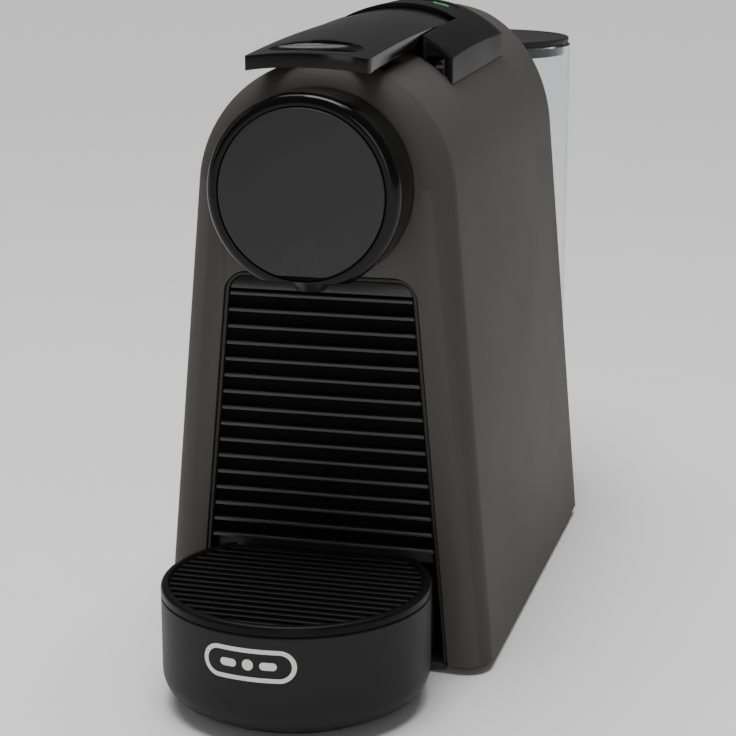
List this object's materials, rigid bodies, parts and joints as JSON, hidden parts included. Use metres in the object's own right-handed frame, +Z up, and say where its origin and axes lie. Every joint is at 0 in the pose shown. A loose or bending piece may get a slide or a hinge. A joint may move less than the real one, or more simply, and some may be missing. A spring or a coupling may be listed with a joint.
{
  "type": "pod coffee machine",
  "caption": "Slim countertop pod coffee machine with an arched casing, round brew head, lever-driven brew cage, drum-shaped drip tray, capsule bin and a lift-off water tank.",
  "frame": {"origin": "on the floor plane under the feet, at the centre of the footprint", "axes": "+Z up, -Y is the front with the brew head and the drip tray, +Y is the rear with the water tank, +X is the right side seen from behind the tank and the viewer's right seen from the front"},
  "size_m": [0.11, 0.325, 0.205],
  "materials": {
    "casing_satin": "satin warm dark grey",
    "lid_satin": "satin dark grey",
    "base_matte": "matte black",
    "liner_matte": "matte black",
    "head_gloss": "gloss black",
    "face_satin": "fine matte black",
    "lever_gloss": "gloss black",
    "panel_satin": "satin black",
    "tray_satin": "satin black",
    "grid_satin": "satin black",
    "rib_satin": "satin black",
    "outlet_black": "satin black",
    "rubber_black": "matte",
    "tank_clear": "clear",
    "steel": "ground",
    "aluminium": "die cast",
    "board_green": "solder resist",
    "white_plastic": "moulded",
    "badge_white": "printed",
    "silicone": "translucent matte"
  },
  "bodies": {
    "machine": {"base_plate": "base_matte", "foot_front_left": "rubber_black", "foot_front_right": "rubber_black", "foot_rear_left": "rubber_black", "foot_rear_right": "rubber_black", "base_screw_front_left": "steel", "base_screw_front_right": "steel", "base_screw_rear_left": "steel", "base_screw_rear_right": "steel", "tank_dock": "base_matte", "water_inlet": "outlet_black", "outer_casing": "casing_satin", "bay_liner": "liner_matte", "bay_header": "liner_matte", "rear_panel": "base_matte", "cord_gland": "rubber_black", "brew_head_cover": "head_gloss", "brew_head_face": "face_satin", "coffee_outlet": "outlet_black", "brew_chamber": "white_plastic", "piercing_plate": "steel", "coffee_duct": "silicone", "top_panel": "panel_satin", "button_board": "board_green", "pump_core": "outlet_black", "pump_coil": "steel", "pump_mount_front": "rubber_black", "pump_mount_rear": "rubber_black", "thermoblock": "aluminium", "heater_bracket": "steel", "flow_meter": "white_plastic", "control_board": "board_green", "suction_hose": "silicone", "feed_hose": "silicone", "pressure_hose": "silicone"},
    "lever": {"lever_handle": "lever_gloss", "lever_axle": "steel", "lever_cam_left": "steel", "lever_cam_right": "steel"},
    "brew_cage": {"capsule_cage": "aluminium", "cage_seal": "rubber_black", "drive_pin": "steel", "injection_needle": "steel"},
    "espresso_key": {"espresso_button": "panel_satin"},
    "lungo_key": {"lungo_button": "panel_satin"},
    "drip_unit": {"drip_tray": "tray_satin", "tray_badge": "badge_white", "capsule_bin": "base_matte", "ribbed_front": "rib_satin"},
    "grid": {"cup_grid": "grid_satin"},
    "tank": {"water_tank": "tank_clear", "tank_valve": "white_plastic"},
    "lid": {"tank_lid": "lid_satin"}
  },
  "joints": [
    {"name": "lever_hinge", "type": "hinge", "parent": "machine", "child": "lever", "pos_m": [0, -0.0019, 0.184], "axis": [-1, 0, 0], "range_deg": [0, 65]},
    {"name": "cage_slide", "type": "slide", "parent": "machine", "child": "brew_cage", "axis": [0, 1, 0], "range_m": [0, 0.026]},
    {"name": "espresso_press", "type": "slide", "parent": "machine", "child": "espresso_key", "axis": [0, 0, -1], "range_m": [0, 0.0012], "stiffness_N_per_m": 500, "springref_m": -0.0005},
    {"name": "lungo_press", "type": "slide", "parent": "machine", "child": "lungo_key", "axis": [0, 0, -1], "range_m": [0, 0.0012], "stiffness_N_per_m": 500, "springref_m": -0.0005},
    {"name": "drip_unit_slide", "type": "slide", "parent": "machine", "child": "drip_unit", "axis": [0, -1, 0], "range_m": [0, 0.12]},
    {"name": "grid_lift", "type": "slide", "parent": "drip_unit", "child": "grid", "axis": [0, 0, 1], "range_m": [0, 0.04]},
    {"name": "tank_lift", "type": "slide", "parent": "machine", "child": "tank", "axis": [0, 0, 1], "range_m": [0, 0.17]},
    {"name": "lid_lift", "type": "slide", "parent": "tank", "child": "lid", "axis": [0, 0, 1], "range_m": [0, 0.04]}
  ],
  "couplings": [
    {"joint": "cage_slide", "follows": "lever_hinge", "m_per_rad": 0.022918}
  ]
}
